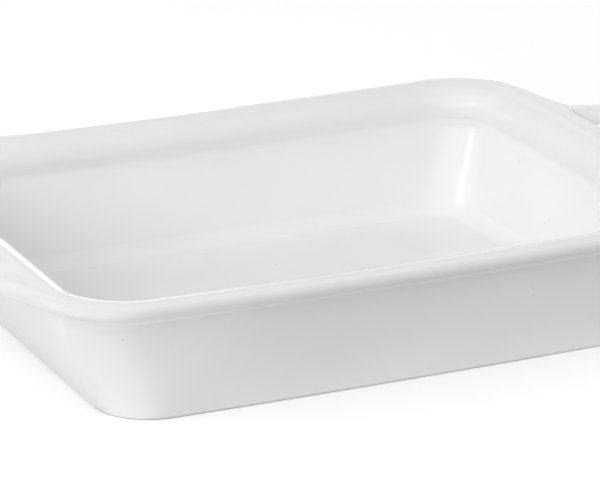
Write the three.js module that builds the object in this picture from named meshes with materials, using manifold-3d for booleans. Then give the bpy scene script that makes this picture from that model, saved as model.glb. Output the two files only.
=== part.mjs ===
// Tapas dish: a rectangular tub with sloping walls, a rolled rim, a foot ring and two loop handles.
// Millimetres, +Z up. The origin is on the table under the middle of the dish, +X runs along its length.
import * as THREE from 'three';
import Module from 'manifold-3d';

// Plan of the rim, measured at the outer edge of its crown.
const RIM_LENGTH = 200;
const RIM_WIDTH = 157;
// The crown is this much lower at the middle of the long sides than at the two ends.
const RIM_SAG = 1.1;
// The long sides bulge by this much at the foot of the wall.
const SIDE_BOW = 1.2;

// Radii of the four corners in plan, from the outer face of the wall over the rim to the inside.
const WALL_CORNER = 16;
const BEAD_FOOT_CORNER = 21.5;
const BEAD_CORNER = 23;
const CROWN_CORNER = 20.5;
const SHOULDER_CORNER = 16;
const LEDGE_CORNER = 14;
const INSIDE_CORNER = 11;
const FLOOR_END_CORNER = 8;

// Heights above the table at the two ends of the dish.
const FOOT_HEIGHT = 0.8;
const FLOOR_HEIGHT = 4;
const SEAM_HEIGHT = 27;
const CROWN_HEIGHT = 39.55;

// The wall: its outer face stands this far in from the rim at table level, and leans out as it rises.
const WALL_INSET = 20.2;
const WALL_LEAN = 0.44;
const WALL_WIDTH = 5.1;
const WALL_FOOT_RADIUS = 1.2;
const FLOOR_RADIUS = 6;

// The rim: a crown with a round outer bead, a hollow cove under the bead and a round inner shoulder.
const CROWN_SLOPE = 0.34;
const CROWN_WIDTH = 7.8;
const CROWN_RADIUS = 5.5;
const CROWN_EDGE_HEIGHT = 38.75;
const BEAD_OVERHANG = 2.3;
const BEAD_EDGE_RADIUS = 1.8;
const BEAD_FOOT_INSET = 0.8;
const BEAD_FOOT_HEIGHT = 35.7;
const BEAD_FOOT_RADIUS = 0.6;
const COVE_HEIGHT = 34.8;
const COVE_RADIUS = 6.5;
const SHOULDER_INSET = 12.3;
const SHOULDER_RADIUS = 8.2;
const LEDGE_HEIGHT = 28.9;
const LEDGE_RADIUS = 6;

// The foot ring, left bare of glaze, under the edge of the floor.
const FOOT_WIDTH = 7;
const FOOT_EDGE = 0.6;

// The handles: a flat bar bent into a loop, with its two roots spread along the end of the rim.
const HANDLE_REACH = 20.5;
const HANDLE_HALF_SPAN = 29.4;
const HANDLE_LEG_SLOPE = 0.41;
const HANDLE_BEND_RADIUS = 13;
const LEG_WIDTH = 7;
const GRIP_WIDTH = 9;
const BAR_TOP = 38;
const BAR_BOTTOM = 32.6;
const BAR_SQUARENESS = 0.7;
const ROOT_DEPTH = 8;
const ROOT_TOP = 38;
const ROOT_BOTTOM = 35;
const ROOT_FLARE_OUT = 6;
const ROOT_FLARE_ALONG = 18;
const ROOT_FLARE_INSIDE = 15;
const ROOT_TURN = 12;

// The slip joint between two formed pieces.
const JOINT_GAP = 0.3;

// Facets.
const CORNER_STEPS = 7;
const LONG_SIDE_STEPS = 8;
const SHORT_SIDE_STEPS = 4;
const ARC_STEP = THREE.MathUtils.degToRad(15);
const BAR_SIDES = 14;
const HANDLE_STEPS = 44;

const wasm = await Module();
wasm.setup();

// A line lists corners as [across, up, roundness]. Round corners become arcs. A point comes with its corner
// and its share of the way from there, below 0 towards the corner before and above 0 towards the next.
function roundedLine(corners, closed) {
  const points = [];
  const count = corners.length;
  const spots = corners.map(([across, up]) => new THREE.Vector2(across, up));
  corners.forEach(([, , roundness], i) => {
    const corner = spots[i];
    const isEnd = !closed && (i === 0 || i === count - 1);
    if (!roundness || isEnd) {
      points.push({ spot: corner, corner: i, past: 0 });
      return;
    }
    const before = spots[(i + count - 1) % count].clone().sub(corner);
    const after = spots[(i + 1) % count].clone().sub(corner);
    const lengthBefore = before.length();
    const lengthAfter = after.length();
    before.normalize();
    after.normalize();
    const halfAngle = Math.acos(before.dot(after)) / 2;
    const reach = roundness / Math.tan(halfAngle);
    const middle = before.clone().add(after).normalize();
    const centre = corner.clone().addScaledVector(middle, roundness / Math.sin(halfAngle));
    const start = corner.clone().addScaledVector(before, reach).sub(centre);
    const turn = (Math.PI - 2 * halfAngle) * Math.sign(after.cross(before));
    const steps = Math.max(2, Math.ceil(Math.abs(turn) / ARC_STEP));
    for (let k = 0; k <= steps; k += 1) {
      const spot = start.clone().rotateAround(new THREE.Vector2(), (turn * k) / steps).add(centre);
      const past = THREE.MathUtils.lerp(-reach / lengthBefore, reach / lengthAfter, k / steps);
      points.push({ spot, corner: i, past });
    }
  });
  return points;
}

// A profile lists corners as [inset from the rim, height, plan radius, roundness]. Its points carry the plan
// radius of their loop, which runs evenly from one corner of the profile to the next.
function roundedProfile(corners, closed) {
  const count = corners.length;
  const planRadius = (i) => corners[(i + count) % count][2];
  const line = roundedLine(corners.map(([inset, height, , roundness]) => [inset, height, roundness]), closed);
  return line.map(({ spot, corner, past }) => {
    const neighbour = planRadius(corner + Math.sign(past));
    const radius = THREE.MathUtils.lerp(planRadius(corner), neighbour, Math.abs(past));
    return { inset: spot.x, height: spot.y, radius };
  });
}

// The profile moved outward, square to itself, by a clearance.
function widenedProfile(points, clearance) {
  const count = points.length;
  return points.map(({ inset, height, radius }, i) => {
    const ahead = points[(i + 1) % count];
    const behind = points[(i + count - 1) % count];
    const along = new THREE.Vector2(ahead.inset - behind.inset, ahead.height - behind.height).normalize();
    return { inset: inset - along.y * clearance, height: height + along.x * clearance, radius };
  });
}

// How far up the wall a height is: 0 at the floor and below, 1 at the crown.
function wallFraction(height) {
  return THREE.MathUtils.clamp((height - FLOOR_HEIGHT) / (CROWN_HEIGHT - FLOOR_HEIGHT), 0, 1);
}

// One level loop of the dish: a rounded rectangle, sagging and bowed along its long sides.
function planLoop({ inset, height, radius }) {
  const halfLength = RIM_LENGTH / 2 - inset;
  const halfWidth = RIM_WIDTH / 2 - inset;
  const straightX = halfLength - radius;
  const straightY = halfWidth - radius;
  const flat = [];
  const addCorner = (centreX, centreY, startAngle) => {
    for (let k = 0; k <= CORNER_STEPS; k += 1) {
      const angle = startAngle + (Math.PI / 2) * (k / CORNER_STEPS);
      flat.push(new THREE.Vector2(centreX + radius * Math.cos(angle), centreY + radius * Math.sin(angle)));
    }
  };
  const addSide = (fromX, fromY, toX, toY, steps) => {
    const from = new THREE.Vector2(fromX, fromY);
    const to = new THREE.Vector2(toX, toY);
    for (let k = 1; k < steps; k += 1) {
      flat.push(from.clone().lerp(to, k / steps));
    }
  };
  addCorner(straightX, straightY, 0);
  addSide(straightX, halfWidth, -straightX, halfWidth, LONG_SIDE_STEPS);
  addCorner(-straightX, straightY, Math.PI / 2);
  addSide(-halfLength, straightY, -halfLength, -straightY, SHORT_SIDE_STEPS);
  addCorner(-straightX, -straightY, Math.PI);
  addSide(-straightX, -halfWidth, straightX, -halfWidth, LONG_SIDE_STEPS);
  addCorner(straightX, -straightY, Math.PI * 1.5);
  addSide(halfLength, -straightY, halfLength, straightY, SHORT_SIDE_STEPS);
  const raised = wallFraction(height);
  return flat.map(({ x, y }) => {
    const middle = 1 - (x / halfLength) ** 2;
    const bow = SIDE_BOW * middle * (1 - raised) * (y / halfWidth);
    return new THREE.Vector3(x, y + bow, height - RIM_SAG * middle * raised);
  });
}

// A skin over a row of loops. The row closes on itself, or its first and last loops are capped.
function skin(loops, closed) {
  const sides = loops[0].length;
  const vertices = loops.flat();
  const triangles = [];
  const rows = closed ? loops.length : loops.length - 1;
  for (let i = 0; i < rows; i += 1) {
    const lower = i * sides;
    const upper = ((i + 1) % loops.length) * sides;
    for (let j = 0; j < sides; j += 1) {
      const next = (j + 1) % sides;
      triangles.push(lower + j, lower + next, upper + next, lower + j, upper + next, upper + j);
    }
  }
  const addCap = (loop, first, facesBack) => {
    const centre = vertices.length;
    const sum = loop.reduce((total, point) => total.add(point), new THREE.Vector3());
    vertices.push(sum.divideScalar(sides));
    for (let j = 0; j < sides; j += 1) {
      const next = (j + 1) % sides;
      triangles.push(centre, first + (facesBack ? next : j), first + (facesBack ? j : next));
    }
  };
  if (!closed) {
    addCap(loops[0], 0, true);
    addCap(loops[loops.length - 1], (loops.length - 1) * sides, false);
  }
  const geometry = new THREE.BufferGeometry();
  const places = vertices.flatMap((vertex) => vertex.toArray());
  geometry.setAttribute('position', new THREE.Float32BufferAttribute(places, 3));
  geometry.setIndex(triangles);
  return geometry;
}

function solid(geometry) {
  return new wasm.Manifold(new wasm.Mesh({
    numProp: 3,
    vertProperties: new Float32Array(geometry.attributes.position.array),
    triVerts: new Uint32Array(geometry.index.array),
  }));
}

function geometryOf(manifold) {
  const mesh = manifold.getMesh();
  const geometry = new THREE.BufferGeometry();
  geometry.setAttribute('position', new THREE.Float32BufferAttribute(mesh.vertProperties, 3));
  geometry.setIndex(new THREE.Uint32BufferAttribute(mesh.triVerts, 1));
  return geometry;
}

// How far in from the rim the wall's outer and inner faces are at a height.
const outerWall = (height) => WALL_INSET - WALL_LEAN * height;
const innerWall = (height) => outerWall(height) + WALL_WIDTH;

// The tub: floor and walls up to the seam under the rim.
function tubGeometry() {
  const underside = FOOT_HEIGHT + JOINT_GAP;
  const corners = [
    [WALL_INSET + 2 * FOOT_WIDTH, underside, FLOOR_END_CORNER],
    [outerWall(underside), underside, WALL_CORNER, WALL_FOOT_RADIUS],
    [outerWall(SEAM_HEIGHT), SEAM_HEIGHT, WALL_CORNER],
    [innerWall(SEAM_HEIGHT), SEAM_HEIGHT, INSIDE_CORNER],
    [innerWall(FLOOR_HEIGHT), FLOOR_HEIGHT, INSIDE_CORNER, FLOOR_RADIUS],
    [innerWall(FLOOR_HEIGHT) + 2 * FLOOR_RADIUS, FLOOR_HEIGHT, FLOOR_END_CORNER],
  ];
  return skin(roundedProfile(corners, false).map(planLoop), false);
}

// The rim: wall stub, cove, bead, crown, inner shoulder and the ledge where the shoulder meets the wall.
function rimProfile() {
  const seam = SEAM_HEIGHT + JOINT_GAP;
  const crownRise = (CROWN_SLOPE * CROWN_WIDTH) / 2;
  const shoulderDrop = CROWN_SLOPE * (SHOULDER_INSET - CROWN_WIDTH);
  return roundedProfile([
    [outerWall(seam), seam, WALL_CORNER],
    [outerWall(COVE_HEIGHT), COVE_HEIGHT, WALL_CORNER, COVE_RADIUS],
    [BEAD_FOOT_INSET, BEAD_FOOT_HEIGHT, BEAD_FOOT_CORNER, BEAD_FOOT_RADIUS],
    [-BEAD_OVERHANG, CROWN_EDGE_HEIGHT - CROWN_SLOPE * BEAD_OVERHANG, BEAD_CORNER, BEAD_EDGE_RADIUS],
    [CROWN_WIDTH / 2, CROWN_EDGE_HEIGHT + crownRise, CROWN_CORNER, CROWN_RADIUS],
    [SHOULDER_INSET, CROWN_EDGE_HEIGHT - shoulderDrop, SHOULDER_CORNER, SHOULDER_RADIUS],
    [innerWall(LEDGE_HEIGHT), LEDGE_HEIGHT, LEDGE_CORNER, LEDGE_RADIUS],
    [innerWall(seam), seam, INSIDE_CORNER],
  ], true);
}

// The foot ring: a low band with its two lower edges taken off.
function footGeometry() {
  const outer = outerWall(FOOT_HEIGHT) + WALL_FOOT_RADIUS / 2;
  const inner = outer + FOOT_WIDTH;
  const corners = [
    [outer + FOOT_EDGE, 0, WALL_CORNER],
    [outer, FOOT_HEIGHT, WALL_CORNER],
    [inner, FOOT_HEIGHT, WALL_CORNER - FOOT_WIDTH],
    [inner - FOOT_EDGE, 0, WALL_CORNER - FOOT_WIDTH],
  ];
  return skin(roundedProfile(corners, true).map(planLoop), true);
}

// The handle's middle line in plan, from one root to the other.
function handlePath() {
  const gripX = RIM_LENGTH / 2 + HANDLE_REACH;
  const rootX = RIM_LENGTH / 2 - ROOT_DEPTH;
  const rootY = HANDLE_HALF_SPAN + HANDLE_LEG_SLOPE * (gripX - rootX);
  const corners = [
    [rootX, -rootY],
    [gripX, -HANDLE_HALF_SPAN, HANDLE_BEND_RADIUS],
    [gripX, HANDLE_HALF_SPAN, HANDLE_BEND_RADIUS],
    [rootX, rootY],
  ];
  const path = new THREE.Path();
  path.setFromPoints(roundedLine(corners, false).map(({ spot }) => spot));
  return path;
}

// One section of the bar: a squarish oval that spreads along the rim and thins as it nears the root.
function handleSection(point, tangent) {
  const clear = point.x - RIM_LENGTH / 2;
  const flare = (1 - THREE.MathUtils.clamp(clear / ROOT_FLARE_OUT, 0, 1)) ** 2;
  const turned = THREE.MathUtils.smoothstep(clear, 0, ROOT_TURN);
  const across = new THREE.Vector2(-tangent.y, tangent.x);
  const level = new THREE.Vector2(0, Math.sign(tangent.x));
  const sideways = level.lerp(across, turned).normalize();
  const outside = Math.sign(sideways.y) === Math.sign(point.y) ? 1 : -1;
  const top = THREE.MathUtils.lerp(ROOT_TOP, BAR_TOP, turned);
  const bottom = THREE.MathUtils.lerp(ROOT_BOTTOM, BAR_BOTTOM, turned);
  const gripShare = THREE.MathUtils.smoothstep(clear, 0, HANDLE_REACH);
  const barWidth = THREE.MathUtils.lerp(LEG_WIDTH, GRIP_WIDTH, gripShare);
  const section = [];
  for (let k = 0; k < BAR_SIDES; k += 1) {
    const angle = (2 * Math.PI * k) / BAR_SIDES;
    const c = Math.cos(angle);
    const s = Math.sin(angle);
    const spread = c * outside > 0 ? ROOT_FLARE_ALONG : ROOT_FLARE_INSIDE;
    const width = barWidth / 2 + flare * spread;
    const offset = Math.sign(c) * Math.abs(c) ** BAR_SQUARENESS * width;
    const lift = Math.sign(s) * Math.abs(s) ** BAR_SQUARENESS * ((top - bottom) / 2);
    const middle = (top + bottom) / 2;
    section.push(new THREE.Vector3(
      point.x + sideways.x * offset,
      point.y + sideways.y * offset,
      middle + lift,
    ));
  }
  return section;
}

// A handle ends in the hollow that the rim leaves for it.
function handleGeometry(rimClearance) {
  const path = handlePath();
  const sections = [];
  for (let k = 0; k <= HANDLE_STEPS; k += 1) {
    const u = k / HANDLE_STEPS;
    sections.push(handleSection(path.getPointAt(u), path.getTangentAt(u)));
  }
  return geometryOf(solid(skin(sections, false)).subtract(solid(rimClearance)));
}

const glaze = () => new THREE.MeshStandardMaterial({ color: 0xf3f3f1, roughness: 0.12, metalness: 0 });
const bareClay = () => new THREE.MeshStandardMaterial({ color: 0xe6e0d4, roughness: 0.85, metalness: 0 });

function piece(name, geometry, material) {
  const mesh = new THREE.Mesh(geometry, material);
  mesh.name = name;
  return mesh;
}

const rim = rimProfile();
const rimGeometry = skin(rim.map(planLoop), true);
const rimClearance = skin(widenedProfile(rim, JOINT_GAP).map(planLoop), true);
const loop = handleGeometry(rimClearance);

const dish = new THREE.Group();
dish.add(piece('foot_ring', footGeometry(), bareClay()));
dish.add(piece('tub', tubGeometry(), glaze()));
dish.add(piece('rim', rimGeometry, glaze()));
dish.add(piece('right_handle', loop, glaze()));

const leftEnd = new THREE.Group();
leftEnd.rotation.z = Math.PI;
leftEnd.add(piece('left_handle', loop, glaze()));
dish.add(leftEnd);

export default dish;
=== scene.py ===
"""Tapas dish: the glazed and bare surfaces of a rectangular ceramic dish with two loop handles."""
import math
from collections import namedtuple

import bpy
import numpy as np
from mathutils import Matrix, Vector


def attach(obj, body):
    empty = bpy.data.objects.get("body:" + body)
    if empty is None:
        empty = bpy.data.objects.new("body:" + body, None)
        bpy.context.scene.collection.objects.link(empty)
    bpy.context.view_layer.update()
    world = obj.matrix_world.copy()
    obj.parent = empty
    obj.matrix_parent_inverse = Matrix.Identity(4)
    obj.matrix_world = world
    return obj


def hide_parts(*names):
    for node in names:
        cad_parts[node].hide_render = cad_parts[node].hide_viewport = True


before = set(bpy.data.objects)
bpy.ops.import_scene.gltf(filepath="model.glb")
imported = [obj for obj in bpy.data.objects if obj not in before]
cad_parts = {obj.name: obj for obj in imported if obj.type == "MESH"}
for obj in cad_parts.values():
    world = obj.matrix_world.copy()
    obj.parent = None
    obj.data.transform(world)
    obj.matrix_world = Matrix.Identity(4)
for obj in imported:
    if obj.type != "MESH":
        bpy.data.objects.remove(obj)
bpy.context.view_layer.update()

MM = 0.001

# Plan of the rim in millimetres, measured at the outer edge of its crown.
RIM_LENGTH = 200.0
RIM_WIDTH = 157.0
RIM_SAG = 1.1
SIDE_BOW = 1.2

# Radii of the four corners in plan, from the outer face of the wall over the rim to the inside.
WALL_CORNER = 16.0
BEAD_FOOT_CORNER = 21.5
BEAD_CORNER = 23.0
CROWN_CORNER = 20.5
SHOULDER_CORNER = 16.0
LEDGE_CORNER = 14.0
INSIDE_CORNER = 11.0
FLOOR_END_CORNER = 2.0

# Heights above the table at the two ends of the dish.
FOOT_HEIGHT = 0.8
FLOOR_HEIGHT = 4.0
SEAM_HEIGHT = 27.0
CROWN_HEIGHT = 39.55

# The wall.
WALL_INSET = 20.2
WALL_LEAN = 0.44
WALL_WIDTH = 5.1
WALL_FOOT_RADIUS = 1.2
GLAZE_EDGE_HEIGHT = 0.3
FLOOR_RADIUS = 6.0
FLOOR_END_INSET = 66.0

# The rim: crown, outer bead, cove under the bead and round inner shoulder.
CROWN_SLOPE = 0.34
CROWN_WIDTH = 7.8
CROWN_RADIUS = 5.5
CROWN_EDGE_HEIGHT = 38.75
BEAD_OVERHANG = 2.3
BEAD_EDGE_RADIUS = 1.8
BEAD_FOOT_INSET = 0.8
BEAD_FOOT_HEIGHT = 35.7
BEAD_FOOT_RADIUS = 0.6
COVE_HEIGHT = 34.8
COVE_RADIUS = 6.5
SHOULDER_INSET = 12.3
SHOULDER_RADIUS = 8.2
LEDGE_HEIGHT = 28.9
LEDGE_RADIUS = 6.0

# The foot ring.
FOOT_WIDTH = 7.0
FOOT_EDGE_RADIUS = 0.45

# The handles: a flat bar bent into a loop, and the roots that run out onto the rim.
HANDLE_REACH = 20.5
HANDLE_HALF_SPAN = 29.4
HANDLE_LEG_SLOPE = 0.41
HANDLE_BEND_RADIUS = 13.0
LEG_WIDTH = 7.0
GRIP_WIDTH = 9.0
BAR_TOP = 38.0
BAR_BOTTOM = 32.6
BAR_SQUARENESS = 0.7
ROOT_TOP = 38.0
ROOT_BOTTOM = 35.0
ROOT_TURN = 12.0
ROOT_OUT = 6.0
ROOT_ALONG_OUTSIDE = 26.7
ROOT_ALONG_INSIDE = 32.8
ROOT_UP_CROWN = 5.0
ROOT_END_CLIMB = 1.8
ROOT_DOWN_BEAD = 2.6
ROOT_LEAVE = 0.37
ROOT_TILT_OUTSIDE = 0.06
ROOT_TILT_INSIDE = 0.22
ROOT_ARRIVE_OUTSIDE = 0.21
ROOT_ARRIVE_INSIDE = 0.02
ROOT_SINK = 0.5

# Mesh fineness.
CORNER_STEPS = 36
LONG_SIDE_STEPS = 64
SHORT_SIDE_STEPS = 48
ARC_STEP = math.radians(4)
STRAIGHT_STEP = 1.6
BAR_SIDES = 64
BAR_STEPS = 120
ROOT_STEPS = 20
NUDGE = 0.001
TINY = 1e-6

# Bends as round as this, or sharper, count in full as ridges or hollows in the glaze.
RIDGE_RADIUS = 1.8
HOLLOW_RADIUS = 4.0


# Profiles

def rounded_profile(corners, closed):
    """Corners (inset, height, plan radius, roundness) as a fine line: points and tangents, each with three
    numbers: inset, height and plan radius. Round corners become arcs, and the plan radius runs evenly over
    each."""
    count = len(corners)
    spots = np.array([corner[:3] for corner in corners], float)
    points, tangents = [], []

    def add_line(start, end):
        length = np.linalg.norm(end[:2] - start[:2])
        steps = max(1, math.ceil(length / STRAIGHT_STEP))
        for k in range(steps):
            points.append(start + (end - start) * k / steps)
            tangents.append((end - start) / length)

    def add_arc(enter, leave, centre, turn):
        steps = max(3, math.ceil(abs(turn) / ARC_STEP))
        spoke = enter[:2] - centre
        roundness = np.linalg.norm(spoke)
        widening = (leave[2] - enter[2]) / (roundness * abs(turn))
        for k in range(steps):
            angle = turn * k / steps
            c, s = math.cos(angle), math.sin(angle)
            across, up = c * spoke[0] - s * spoke[1], s * spoke[0] + c * spoke[1]
            points.append([*(centre + (across, up)), enter[2] + (leave[2] - enter[2]) * k / steps])
            way = np.sign(turn) / roundness
            tangents.append([-up * way, across * way, widening])

    pieces = []
    for i, corner in enumerate(corners):
        roundness = corner[3]
        is_end = not closed and i in (0, count - 1)
        if not roundness or is_end:
            pieces.append((spots[i], spots[i], None))
            continue
        before = spots[i - 1] - spots[i]
        after = spots[(i + 1) % count] - spots[i]
        before /= np.linalg.norm(before[:2])
        after /= np.linalg.norm(after[:2])
        half_angle = math.acos(np.clip(before[:2] @ after[:2], -1, 1)) / 2
        reach = roundness / math.tan(half_angle)
        middle = (before + after)[:2] / np.linalg.norm((before + after)[:2])
        centre = spots[i][:2] + middle * roundness / math.sin(half_angle)
        turn = (math.pi - 2 * half_angle) * np.sign(after[0] * before[1] - after[1] * before[0])
        pieces.append((spots[i] + before * reach, spots[i] + after * reach, (centre, turn)))
    for i, (enter, leave, arc) in enumerate(pieces):
        if arc:
            add_arc(enter, leave, *arc)
        if closed or i < count - 1:
            following = pieces[(i + 1) % count][0]
            if np.linalg.norm((following - leave)[:2]) > TINY:
                add_line(leave, following)
    if not closed:
        points.append(spots[-1])
        tangents.append(tangents[-1])
    return np.array(points), np.array(tangents)


def outer_wall(height):
    """Inset of the wall's outer face at a height."""
    return WALL_INSET - WALL_LEAN * height


def inner_wall(height):
    """Inset of the wall's inner face at a height."""
    return outer_wall(height) + WALL_WIDTH


def dish_profile():
    """The glazed skin of the whole dish, from under the floor, over the rim, to the inside of the floor."""
    crown_rise = CROWN_SLOPE * CROWN_WIDTH / 2
    shoulder_drop = CROWN_SLOPE * (SHOULDER_INSET - CROWN_WIDTH)
    return rounded_profile([
        (FLOOR_END_INSET, FOOT_HEIGHT, FLOOR_END_CORNER, 0),
        (outer_wall(GLAZE_EDGE_HEIGHT), GLAZE_EDGE_HEIGHT, WALL_CORNER, WALL_FOOT_RADIUS),
        (outer_wall(SEAM_HEIGHT), SEAM_HEIGHT, WALL_CORNER, 0),
        (outer_wall(COVE_HEIGHT), COVE_HEIGHT, WALL_CORNER, COVE_RADIUS),
        (BEAD_FOOT_INSET, BEAD_FOOT_HEIGHT, BEAD_FOOT_CORNER, BEAD_FOOT_RADIUS),
        (-BEAD_OVERHANG, CROWN_EDGE_HEIGHT - CROWN_SLOPE * BEAD_OVERHANG, BEAD_CORNER, BEAD_EDGE_RADIUS),
        (CROWN_WIDTH / 2, CROWN_EDGE_HEIGHT + crown_rise, CROWN_CORNER, CROWN_RADIUS),
        (SHOULDER_INSET, CROWN_EDGE_HEIGHT - shoulder_drop, SHOULDER_CORNER, SHOULDER_RADIUS),
        (inner_wall(LEDGE_HEIGHT), LEDGE_HEIGHT, LEDGE_CORNER, LEDGE_RADIUS),
        (inner_wall(SEAM_HEIGHT), SEAM_HEIGHT, INSIDE_CORNER, 0),
        (inner_wall(FLOOR_HEIGHT), FLOOR_HEIGHT, INSIDE_CORNER, FLOOR_RADIUS),
        (FLOOR_END_INSET, FLOOR_HEIGHT, FLOOR_END_CORNER, 0),
    ], False)


def foot_profile():
    """The section of the bare ring that the dish stands on."""
    outer = outer_wall(FOOT_HEIGHT) + WALL_FOOT_RADIUS / 2
    inner = outer + FOOT_WIDTH
    return rounded_profile([
        (outer, 0.0, WALL_CORNER, FOOT_EDGE_RADIUS),
        (outer, FOOT_HEIGHT, WALL_CORNER, 0),
        (inner, FOOT_HEIGHT, WALL_CORNER - FOOT_WIDTH, 0),
        (inner, 0.0, WALL_CORNER - FOOT_WIDTH, FOOT_EDGE_RADIUS),
    ], True)


# Plan loops

def flat_loop(points):
    """A level rounded rectangle for each profile point: places and unit directions along the loop."""
    inset, radius = points[:, :1], points[:, 2:]
    half = np.concatenate([RIM_LENGTH / 2 - inset, RIM_WIDTH / 2 - inset], axis=1)
    straight = half - radius
    places, directions = [], []
    signs = [(1, 1), (-1, 1), (-1, -1), (1, -1)]
    sides = [LONG_SIDE_STEPS, SHORT_SIDE_STEPS, LONG_SIDE_STEPS, SHORT_SIDE_STEPS]
    for quarter in range(4):
        start = quarter * math.pi / 2
        centre = straight * np.array(signs[quarter])
        for k in range(CORNER_STEPS + 1):
            angle = start + (math.pi / 2) * k / CORNER_STEPS
            spoke = np.array([math.cos(angle), math.sin(angle)])
            places.append(centre + radius * spoke)
            directions.append(np.broadcast_to([-spoke[1], spoke[0]], centre.shape))
        leaving = np.array([math.cos(start + math.pi / 2), math.sin(start + math.pi / 2)])
        corner_end = centre + radius * leaving
        next_centre = straight * np.array(signs[(quarter + 1) % 4])
        side_end = next_centre + radius * leaving
        along = np.array([-leaving[1], leaving[0]])
        for k in range(1, sides[quarter]):
            places.append(corner_end + (side_end - corner_end) * k / sides[quarter])
            directions.append(np.broadcast_to(along, centre.shape))
    return np.stack(places, axis=1), np.stack(directions, axis=1)


def shaped(flat, points):
    """The sag of the crown and the bow of the long sides, for flat places (rows, columns, 2)."""
    inset, height = points[:, :1], points[:, 1:2]
    half_length = RIM_LENGTH / 2 - inset
    half_width = RIM_WIDTH / 2 - inset
    raised = np.clip((height - FLOOR_HEIGHT) / (CROWN_HEIGHT - FLOOR_HEIGHT), 0, 1)
    middle = 1 - (flat[..., 0] / half_length) ** 2
    bow = SIDE_BOW * middle * (1 - raised) * flat[..., 1] / half_width
    level = height - RIM_SAG * middle * raised
    return np.stack([flat[..., 0], flat[..., 1] + bow, np.broadcast_to(level, bow.shape)], axis=-1)


def unit(vectors):
    return vectors / np.maximum(np.linalg.norm(vectors, axis=-1, keepdims=True), TINY ** 2)


def distances(points):
    """How far each point of a line is from its start, along the line."""
    steps = np.linalg.norm(np.diff(points[:, :2], axis=0), axis=1)
    return np.concatenate([[0], np.cumsum(steps)])


Sheet = namedtuple("Sheet", "places normals ridge hollow")


def sheet_of(places, normals, closed):
    """A sheet with its bends, in shares of the sharpest that count: convex in ridge, concave in hollow."""
    bends = []
    for axis in (0, 1):
        step = np.roll(places, -1, axis) - np.roll(places, 1, axis)
        turn = np.roll(normals, -1, axis) - np.roll(normals, 1, axis)
        bends.append((step * turn).sum(-1) / np.maximum((step * step).sum(-1), NUDGE))
    if not closed:
        bends[0][[0, -1]] = bends[0][[1, -2]]
    ridge = np.clip(np.maximum(*bends) * RIDGE_RADIUS, 0, 1)
    hollow = np.clip(-np.minimum(*bends) * HOLLOW_RADIUS, 0, 1)
    return Sheet(places, normals, ridge, hollow)


def rows_of(sheet, rows):
    return Sheet(*(values[rows] for values in sheet))


def lofted(points, tangents, closed):
    """The sheet that a profile sweeps round the plan, with its normals outward."""
    flat, direction = flat_loop(points)
    places = shaped(flat, points)
    around = shaped(flat + NUDGE * direction, points) - shaped(flat - NUDGE * direction, points)
    ahead, behind = points + NUDGE * tangents, points - NUDGE * tangents
    up = shaped(flat_loop(ahead)[0], ahead) - shaped(flat_loop(behind)[0], behind)
    return sheet_of(places, unit(np.cross(around, up)), closed)


def grid_faces(rows, columns, rows_close=False):
    """Quads of a sheet whose columns close into loops."""
    faces = []
    for i in range(rows if rows_close else rows - 1):
        lower = i * columns
        upper = ((i + 1) % rows) * columns
        for j in range(columns):
            k = (j + 1) % columns
            faces.append((lower + j, lower + k, upper + k, upper + j))
    return faces


def capped_faces(rows, columns):
    """Quads of such a sheet, with one flat face over its first loop and one over its last."""
    faces = grid_faces(rows, columns)
    faces.append(tuple(range(columns - 1, -1, -1)))
    faces.append(tuple((rows - 1) * columns + j for j in range(columns)))
    return faces


# Pieces

def add_share(mesh, name, values):
    """A number from 0 to 1 at each point of the mesh, for its material."""
    attribute = mesh.attributes.new(name, "FLOAT", "POINT")
    attribute.data.foreach_set("value", values.ravel().astype(np.float32))


def add_piece(name, node, material, sheet, faces):
    """One mesh piece that stands for a node of the frame."""
    mesh = bpy.data.meshes.new(name)
    mesh.from_pydata((sheet.places.reshape(-1, 3) * MM).tolist(), [], faces)
    mesh.validate()
    mesh.shade_smooth()
    mesh.normals_split_custom_set_from_vertices(sheet.normals.reshape(-1, 3).tolist())
    mesh.materials.append(material)
    add_share(mesh, "ridge", sheet.ridge)
    add_share(mesh, "hollow", sheet.hollow)
    piece = bpy.data.objects.new(name, mesh)
    bpy.context.scene.collection.objects.link(piece)
    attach(piece, "root")
    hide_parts(node)


def make_tub(material):
    """Floor and walls below the seam. One flat face closes the last loop on the floor, and one the first
    loop under it."""
    points, tangents = dish_profile()
    outer_seam, inner_seam = seam_rows(points)
    keep = list(range(outer_seam + 1)) + list(range(inner_seam, len(points)))
    sheet = rows_of(lofted(points, tangents, False), keep)
    add_piece("glazed_tub", "tub", material, sheet, capped_faces(*sheet.ridge.shape))


def make_rim(material):
    """Cove, bead, crown and shoulder above the seam."""
    points, tangents = dish_profile()
    outer_seam, inner_seam = seam_rows(points)
    sheet = rows_of(lofted(points, tangents, False), slice(outer_seam, inner_seam + 1))
    faces = grid_faces(*sheet.ridge.shape, rows_close=True)
    add_piece("glazed_rim", "rim", material, sheet, faces)


def seam_rows(points):
    """Where the profile crosses the seam between tub and rim, outside and inside."""
    at_seam = np.flatnonzero(np.abs(points[:, 1] - SEAM_HEIGHT) < TINY)
    return at_seam[0], at_seam[-1]


def make_foot_ring(material):
    points, tangents = foot_profile()
    sheet = lofted(points, tangents, True)
    faces = grid_faces(*sheet.ridge.shape, rows_close=True)
    add_piece("bare_foot_ring", "foot_ring", material, sheet, faces)


def smoothstep(value, low, high):
    """0 below the low value and 1 above the high one, with a smooth climb between."""
    t = np.clip((value - low) / (high - low), 0, 1)
    return t * t * (3 - 2 * t)


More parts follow.
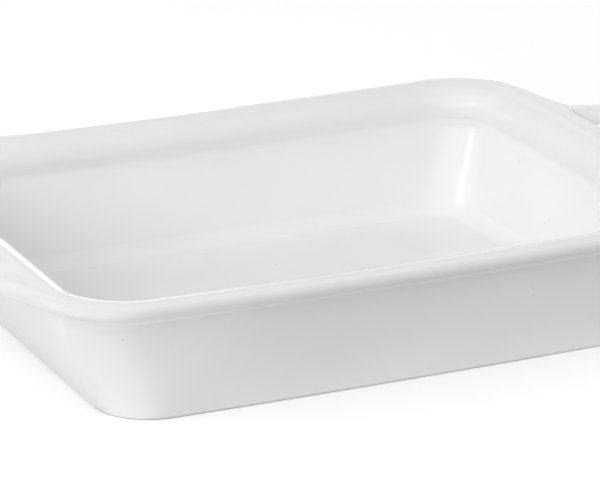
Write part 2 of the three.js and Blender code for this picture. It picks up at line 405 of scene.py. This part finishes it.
def handle_path():
    """The bar's middle line in plan, evenly spaced from root to root: places and unit directions."""
    grip_x = RIM_LENGTH / 2 + HANDLE_REACH
    root_x = RIM_LENGTH / 2 + ROOT_OUT
    root_y = HANDLE_HALF_SPAN + HANDLE_LEG_SLOPE * (HANDLE_REACH - ROOT_OUT)
    points, tangents = rounded_profile([
        (root_x, -root_y, 0, 0),
        (grip_x, -HANDLE_HALF_SPAN, 0, HANDLE_BEND_RADIUS),
        (grip_x, HANDLE_HALF_SPAN, 0, HANDLE_BEND_RADIUS),
        (root_x, root_y, 0, 0),
    ], False)
    reach = distances(points)
    even = np.linspace(0, reach[-1], BAR_STEPS + 1)
    places = np.column_stack([np.interp(even, reach, points[:, axis]) for axis in (0, 1)])
    directions = np.column_stack([np.interp(even, reach, tangents[:, axis]) for axis in (0, 1)])
    return places, unit(directions)


def oval(angle):
    """A squarish oval: sideways and upward shares at an angle."""
    c, s = np.cos(angle), np.sin(angle)
    return np.sign(c) * np.abs(c) ** BAR_SQUARENESS, np.sign(s) * np.abs(s) ** BAR_SQUARENESS


def bar_rings(angles):
    """Rings of the bar from one root to the other, each running round the section."""
    places, directions = handle_path()
    clear = places[:, 0] - RIM_LENGTH / 2
    turned = smoothstep(clear, 0, ROOT_TURN)
    top = ROOT_TOP + (BAR_TOP - ROOT_TOP) * turned
    bottom = ROOT_BOTTOM + (BAR_BOTTOM - ROOT_BOTTOM) * turned
    width = LEG_WIDTH + (GRIP_WIDTH - LEG_WIDTH) * smoothstep(clear, 0, HANDLE_REACH)
    sideways = np.column_stack([-directions[:, 1], directions[:, 0]])
    across, lift = oval(angles)
    offset = across[None, :] * width[:, None] / 2
    x = places[:, :1] + sideways[:, :1] * offset
    y = places[:, 1:] + sideways[:, 1:] * offset
    z = ((top + bottom) / 2)[:, None] + lift[None, :] * ((top - bottom) / 2)[:, None]
    return np.stack([x, y, z], axis=-1), directions


def rim_end(along, climb, points, tangents):
    """The rim's surface at its +X end and round the corners next to it: place, outward normal and the two
    directions in the surface, upward and around. The climb runs over the profile from the bead's outermost
    point, up over the crown or down the bead."""
    reach = distances(points)
    outermost = np.argmin(points[:, 0])
    at = reach[outermost] + climb
    inset, height, radius = (np.interp(at, reach, points[:, k]) for k in range(3))
    tangent = unit(np.column_stack([np.interp(at, reach, tangents[:, k]) for k in (0, 1)]))
    straight = RIM_WIDTH / 2 - inset - radius
    turn = np.sign(along) * np.maximum(np.abs(along) - straight, 0) / radius
    c, s = np.cos(turn), np.sin(turn)
    x = RIM_LENGTH / 2 - inset - radius * (1 - c)
    y = np.clip(along, -straight, straight) + radius * s
    place = np.column_stack([x, y, height])
    upward = np.column_stack([-tangent[:, 0] * c, -tangent[:, 0] * s, tangent[:, 1]])
    normal = np.column_stack([tangent[:, 1] * c, tangent[:, 1] * s, tangent[:, 0]])
    around = np.column_stack([-s, c, np.zeros_like(c)])
    return place, normal, upward, around


def root_rings(bar_ring, bar_direction, angles):
    """Rings from the rim's surface out to the end ring of the bar, leaving the rim tangentially. At both
    roots the sideways share of the bar's section points to the inside of the loop."""
    side = np.sign(bar_ring[:, 1].mean())
    across, lift = oval(angles)
    toward_corner = -across
    spread = np.where(toward_corner > 0, ROOT_ALONG_OUTSIDE, ROOT_ALONG_INSIDE)
    centre = side * (HANDLE_HALF_SPAN + HANDLE_LEG_SLOPE * HANDLE_REACH)
    along = centre + side * toward_corner * (spread + LEG_WIDTH / 2)
    climb = np.where(lift > 0, ROOT_UP_CROWN - ROOT_END_CLIMB, ROOT_DOWN_BEAD + ROOT_END_CLIMB) * lift
    climb = climb + ROOT_END_CLIMB
    points, tangents = dish_profile()
    place, normal, upward, around = rim_end(along, climb, points, tangents)
    inward = unit(around * (centre - along)[:, None] - upward * climb[:, None])
    gap = np.linalg.norm(bar_ring - place, axis=1, keepdims=True)
    outside_share = (1 + toward_corner[:, None]) / 2
    tilt_share = ROOT_TILT_INSIDE + (ROOT_TILT_OUTSIDE - ROOT_TILT_INSIDE) * outside_share
    tilt = np.abs(across)[:, None] * tilt_share
    leave = place + (inward + normal * tilt) * gap * ROOT_LEAVE
    back = np.array([bar_direction[0], bar_direction[1], 0.0])
    arrive_share = ROOT_ARRIVE_INSIDE + (ROOT_ARRIVE_OUTSIDE - ROOT_ARRIVE_INSIDE) * outside_share
    arrive = bar_ring + back * gap * arrive_share
    t = (np.arange(ROOT_STEPS) / ROOT_STEPS)[:, None, None]
    near_rim = (1 - t) ** 3 * place + 3 * (1 - t) ** 2 * t * leave
    near_bar = 3 * (1 - t) * t ** 2 * arrive + t ** 3 * bar_ring
    return near_rim + near_bar, normal


def make_handle(name, node, material, turned_round):
    """A loop handle for the +X end, or turned half round for the other end. A skirt at each root dips into
    the rim, so that no gap shows."""
    angles = 2 * math.pi * np.arange(BAR_SIDES) / BAR_SIDES
    bar, directions = bar_rings(angles)
    first, first_normal = root_rings(bar[0], -directions[0], angles)
    last, last_normal = root_rings(bar[-1], directions[-1], angles)
    rings = np.concatenate([first, bar, last[::-1]])
    along = np.gradient(rings, axis=0)
    around = np.roll(rings, -1, axis=1) - np.roll(rings, 1, axis=1)
    normals = unit(np.cross(around, along))
    normals[0], normals[-1] = first_normal, last_normal
    if turned_round:
        rings = rings * np.array([-1, -1, 1])
        normals = normals * np.array([-1, -1, 1])
    open_bar = sheet_of(rings, normals, False)
    sheet = rows_of(open_bar, [0, *range(len(rings)), -1])
    sheet.normals[[0, -1]] *= -1
    sheet.places[[0, -1]] += sheet.normals[[0, -1]] * ROOT_SINK
    add_piece(name, node, material, sheet, capped_faces(*sheet.ridge.shape))


# Materials

GLAZE_CLOUDS = (0.785, 0.815)
# Darker, greyer glaze tone on sharp convex bends, such as the rim's outer roll.
GLAZE_ON_RIDGES = (0.735, 0.732, 0.725, 1)
GLAZE_IN_HOLLOWS = (0.825, 0.828, 0.83, 1)
GLAZE_SPECK = (0.70, 0.69, 0.67, 1)
GLAZE_ROUGHNESS = (0.045, 0.085)
GLAZE_IOR = 1.5
GLAZE_WEAR = 0.06
GLAZE_BREAKS = (0.6, 1.0)
WAVE_HEIGHT = 0.00002
PEEL_HEIGHT = 0.0000006
CLAY_TONES = ((0.70, 0.68, 0.64, 1), (0.80, 0.785, 0.75, 1))
CLAY_GROG = (0.56, 0.50, 0.42, 1)
CLAY_WORN = (0.84, 0.825, 0.79, 1)
CLAY_ROUGHNESS = (0.78, 0.95)
CLAY_GRAIN_HEIGHT = 0.00006

# Noise patterns, from broad clouds to fine grain: cells to the metre, and levels of detail.
CLOUDS = (28, 3)
WAVES = (30, 1)
MOTTLE = (90, 2)
CLAY_MOTTLE = (90, 4)
BREAKS = (240, 2)
PEEL = (700, 2)
GRAIN = (1600, 4)

# Cells to the metre of the speckled patterns.
SPECKS = 160
GROG = 700

# How near a cell's middle a speck reaches, and which cells have one at all, as shares of the cell.
SPECK_REACH = (0.035, 0.075)
SPECK_CHOICE = (0.74, 0.76)
GROG_REACH = (0.10, 0.22)
GROG_CHOICE = (0.55, 0.6)

# The middle stretch of a noise pattern, which nearly all of it lies in.
NOISE_SPAN = (0.3, 0.7)

# Sockets of the colour mixing node, whose names repeat for other kinds of value.
MIX_SHARE = 0
MIX_BASE = 6
MIX_OVER = 7
MIX_RESULT = 2


class Surface:
    """A material under construction: its nodes, links and main shader."""

    def __init__(self, name):
        self.material = bpy.data.materials.new(name)
        self.material.use_nodes = True
        self.nodes = self.material.node_tree.nodes
        self.links = self.material.node_tree.links
        self.shader = self.nodes["Principled BSDF"]
        self.place = None

    def set(self, socket, value):
        """A constant for one of the shader's sockets."""
        self.shader.inputs[socket].default_value = value

    def feed(self, socket, source):
        self.links.new(source, self.shader.inputs[socket])

    def texture(self, kind, scale):
        """A texture of the given kind in the piece's own metres, with this many cells to the metre."""
        if self.place is None:
            self.place = self.nodes.new("ShaderNodeTexCoord").outputs["Object"]
        node = self.nodes.new(kind)
        node.inputs["Scale"].default_value = scale
        self.links.new(self.place, node.inputs["Vector"])
        return node

    def noise(self, pattern):
        scale, detail = pattern
        node = self.texture("ShaderNodeTexNoise", scale)
        node.inputs["Detail"].default_value = detail
        return node.outputs["Fac"]

    def share(self, name):
        """One of the numbers that add_share keeps at the points of the mesh."""
        node = self.nodes.new("ShaderNodeAttribute")
        node.attribute_name = name
        return node.outputs["Fac"]

    def fitted(self, value, source_range, target_range):
        """A value carried from one range over to another, and held inside it."""
        node = self.nodes.new("ShaderNodeMapRange")
        for socket, limit in zip(("From Min", "From Max", "To Min", "To Max"), source_range + target_range):
            node.inputs[socket].default_value = limit
        self.links.new(value, node.inputs["Value"])
        return node.outputs["Result"]

    def product(self, first, second):
        node = self.nodes.new("ShaderNodeMath")
        node.operation = "MULTIPLY"
        self.links.new(first, node.inputs[0])
        self.links.new(second, node.inputs[1])
        return node.outputs["Value"]

    def raised_by(self, base, amount, share):
        """A value with an amount added where the share is high."""
        node = self.nodes.new("ShaderNodeMath")
        node.operation = "MULTIPLY_ADD"
        self.links.new(share, node.inputs[0])
        node.inputs[1].default_value = amount
        self.links.new(base, node.inputs[2])
        return node.outputs["Value"]

    def tinted(self, base, colour, share):
        """A colour laid over another colour, or over a grey value, where the share is high."""
        node = self.nodes.new("ShaderNodeMix")
        node.data_type = "RGBA"
        self.links.new(share, node.inputs[MIX_SHARE])
        if isinstance(base, tuple):
            node.inputs[MIX_BASE].default_value = base
        else:
            self.links.new(base, node.inputs[MIX_BASE])
        node.inputs[MIX_OVER].default_value = colour
        return node.outputs[MIX_RESULT]

    def bumps(self, pattern, height, under=None):
        """Bumps that follow a pattern and stand this high in metres, over the bumps that lie under them."""
        node = self.nodes.new("ShaderNodeBump")
        node.inputs["Distance"].default_value = height
        self.links.new(pattern, node.inputs["Height"])
        if under:
            self.links.new(under, node.inputs["Normal"])
        return node.outputs["Normal"]

    def specks(self, scale, reach, choice):
        """Small dots scattered over some cells of a pattern: 1 in a dot and 0 around it."""
        cells = self.texture("ShaderNodeTexVoronoi", scale)
        near = self.fitted(cells.outputs["Distance"], reach, (1, 0))
        chosen = self.fitted(cells.outputs["Color"], choice, (0, 1))
        return self.product(near, chosen)


def glaze_material():
    """White glaze: clouded, darker on the ridges and rougher there from wear, pooled in the hollows, waved
    and specked.
    """
    glaze = Surface("white_glaze")
    glaze.set("IOR", GLAZE_IOR)
    clouds = glaze.noise(CLOUDS)
    breaks = glaze.fitted(glaze.noise(BREAKS), NOISE_SPAN, GLAZE_BREAKS)
    ridge_mask = glaze.product(glaze.share("ridge"), breaks)
    pooled = glaze.product(glaze.share("hollow"), breaks)
    tone = glaze.fitted(clouds, NOISE_SPAN, GLAZE_CLOUDS)
    tone = glaze.tinted(tone, GLAZE_IN_HOLLOWS, pooled)
    # Darker, greyer tone on sharp convex bends, broken up by noise.
    tone = glaze.tinted(tone, GLAZE_ON_RIDGES, ridge_mask)
    tone = glaze.tinted(tone, GLAZE_SPECK, glaze.specks(SPECKS, SPECK_REACH, SPECK_CHOICE))
    glaze.feed("Base Color", tone)
    roughness = glaze.fitted(glaze.noise(MOTTLE), NOISE_SPAN, GLAZE_ROUGHNESS)
    glaze.feed("Roughness", glaze.raised_by(roughness, GLAZE_WEAR, ridge_mask))
    waves = glaze.bumps(glaze.noise(WAVES), WAVE_HEIGHT)
    glaze.feed("Normal", glaze.bumps(glaze.noise(PEEL), PEEL_HEIGHT, waves))
    return glaze.material


def clay_material():
    """Bare clay: mottled, with darker grog, a gritty grain and edges that the table has rubbed pale."""
    clay = Surface("bare_clay")
    grain = clay.noise(GRAIN)
    mottle = clay.fitted(clay.noise(CLAY_MOTTLE), NOISE_SPAN, (0, 1))
    tone = clay.tinted(CLAY_TONES[0], CLAY_TONES[1], mottle)
    tone = clay.tinted(tone, CLAY_GROG, clay.specks(GROG, GROG_REACH, GROG_CHOICE))
    tone = clay.tinted(tone, CLAY_WORN, clay.product(clay.share("ridge"), mottle))
    clay.feed("Base Color", tone)
    clay.feed("Roughness", clay.fitted(grain, NOISE_SPAN, CLAY_ROUGHNESS))
    clay.feed("Normal", clay.bumps(grain, CLAY_GRAIN_HEIGHT))
    return clay.material


# Stage

# The camera: degrees round the target, and millimetres.
VIEW_AZIMUTH = -24.978
VIEW_ELEVATION = 18.69
VIEW_DISTANCE = 981.57
VIEW_TARGET = (1.784, 4.095, 19.5)
VIEW_LENS = 210.0

FLOOR_SIZE = 8.0
FLOOR_TONE = 0.6
FLOOR_GLOW = 0.46
FLOOR_ROUGHNESS = 0.9

# Soft boxes: azimuth and elevation of the middle, width and height, all in degrees, and radiance.
# Azimuth 0 stands in front of the dish and 90 on its right. Fills light the glaze without showing in it,
# keys do both, and mirrors only show in it, over the even level that the rest of the studio shows.
LIGHT_DISTANCE = 1.5
FILLS = {
    "front": (0, 26, 60, 28, 1.0),
    "front_right": (60, 26, 60, 28, 0.5),
    "back_right": (120, 26, 60, 28, 0.85),
    "back": (180, 26, 60, 28, 1.0),
    "back_left": (-120, 26, 60, 28, 1.0),
    "front_left": (-60, 26, 60, 28, 2.7),
    "top": (0, 89.9, 60, 60, 1.08),
    "top_left": (-90, 64, 40, 22, 0.5),
    "high_front": (0, 50, 60, 20, 1.05),
    "low_right": (95, 8, 60, 16, 0.7),
}
KEYS = {
    "left_key": (-90, 35, 40, 10, 1.8),
    "low_key": (-75, 22, 44, 12, 0.9),
    "front_left_low": (-45, 18, 36, 18, 0.7),
    "back_spot": (163, 33, 8, 7, 0.4),
}
MIRRORS = {
    "backdrop": (150, 14, 60, 28, 0.4),
}
STUDIO_LEVEL = 0.6

# A small white card upright behind the dish, which only shows in the glaze: metres, and radiance.
CARD_PLACE = (0.0275, 0.20, 0.046)
CARD_WIDTH = 0.075
CARD_HEIGHT = 0.05
CARD_LEVEL = 1.6

# Patches of the table whose light reaches the dish from below: x and y ranges in metres, and radiance.
# They lie this far above the floor.
PATCH_HEIGHT = 0.0002
TABLE_PATCHES = {
    "near_corner": ((-0.092, -0.070), (-0.072, -0.050), 1.0),
    "near_front": ((-0.070, 0.20), (-0.072, -0.050), 0.79),
    "near_left": ((-0.092, -0.065), (-0.050, 0.25), 0.55),
    "corner_table": ((-0.20, -0.070), (-0.17, -0.072), 1.14),
    "front_table": ((-0.070, 0.20), (-0.17, -0.072), 0.71),
    "left_table": ((-0.20, -0.092), (-0.072, 0.25), 0.92),
    "right_table": ((0.092, 0.25), (-0.072, 0.25), 1.2),
    "back_table": ((-0.092, 0.092), (0.072, 0.30), 0.4),
}


def make_floor():
    """A white floor for the camera and reflections. Its light on the dish comes from the table patches."""
    paper = Surface("pale_floor")
    paper.set("Base Color", (FLOOR_TONE, FLOOR_TONE, FLOOR_TONE, 1))
    paper.set("Roughness", FLOOR_ROUGHNESS)
    paper.set("Specular IOR Level", 0.0)
    paper.set("Emission Color", (1, 1, 1, 1))
    paper.set("Emission Strength", FLOOR_GLOW)
    bpy.ops.mesh.primitive_plane_add(size=FLOOR_SIZE)
    floor = bpy.context.object
    floor.name = "floor"
    floor.data.materials.append(paper.material)
    floor.visible_diffuse = False
    floor.visible_shadow = False


def place_at(thing, azimuth, elevation, distance, target):
    """Puts a camera or light round a target, facing it. Azimuth 0 stands in front, towards -Y."""
    az, el = math.radians(azimuth), math.radians(elevation)
    back = Vector((math.sin(az) * math.cos(el), -math.cos(az) * math.cos(el), math.sin(el)))
    thing.location = (Vector(target) + back * distance) * MM
    thing.rotation_euler = back.to_track_quat("Z", "Y").to_euler()


def make_camera():
    data = bpy.data.cameras.new("camera")
    data.lens = VIEW_LENS
    data.sensor_fit = "HORIZONTAL"
    camera = bpy.data.objects.new("camera", data)
    bpy.context.scene.collection.objects.link(camera)
    place_at(camera, VIEW_AZIMUTH, VIEW_ELEVATION, VIEW_DISTANCE, VIEW_TARGET)
    bpy.context.scene.camera = camera


def add_area_light(name, width, height, radiance):
    data = bpy.data.lights.new(name, "AREA")
    data.shape = "RECTANGLE"
    data.size = width
    data.size_y = height
    data.energy = radiance * math.pi * width * height
    light = bpy.data.objects.new(name, data)
    bpy.context.scene.collection.objects.link(light)
    light.visible_camera = False
    return light


def add_soft_box(name, azimuth, elevation, width, height, radiance):
    across = 2 * LIGHT_DISTANCE * math.tan(math.radians(width) / 2)
    tall = 2 * LIGHT_DISTANCE * math.tan(math.radians(height) / 2)
    light = add_area_light(name, across, tall, radiance)
    place_at(light, azimuth, elevation, LIGHT_DISTANCE / MM, VIEW_TARGET)
    return light


def add_table_patch(name, x_range, y_range, radiance):
    light = add_area_light(name, x_range[1] - x_range[0], y_range[1] - y_range[0], radiance)
    light.location = (sum(x_range) / 2, sum(y_range) / 2, PATCH_HEIGHT)
    light.rotation_euler = (math.pi, 0, 0)
    light.visible_glossy = False


def add_card():
    light = add_area_light("card", CARD_WIDTH, CARD_HEIGHT, CARD_LEVEL)
    light.location = CARD_PLACE
    light.rotation_euler = (-math.pi / 2, 0, 0)
    light.visible_diffuse = False


def make_lights():
    world = bpy.data.worlds.new("studio")
    world.use_nodes = True
    world.node_tree.nodes["Background"].inputs["Color"].default_value = (1, 1, 1, 1)
    world.node_tree.nodes["Background"].inputs["Strength"].default_value = STUDIO_LEVEL
    world.cycles_visibility.diffuse = False
    bpy.context.scene.world = world
    for name, box in FILLS.items():
        add_soft_box(name, *box).visible_glossy = False
    for name, box in KEYS.items():
        add_soft_box(name, *box)
    for name, box in MIRRORS.items():
        add_soft_box(name, *box).visible_diffuse = False
    for name, patch in TABLE_PATCHES.items():
        add_table_patch(name, *patch)
    add_card()


bpy.context.scene.view_settings.view_transform = "Standard"
make_camera()
glaze = glaze_material()
clay = clay_material()
make_tub(glaze)
make_rim(glaze)
make_foot_ring(clay)
make_handle("glazed_right_handle", "right_handle", glaze, False)
make_handle("glazed_left_handle", "left_handle", glaze, True)
make_floor()
make_lights()
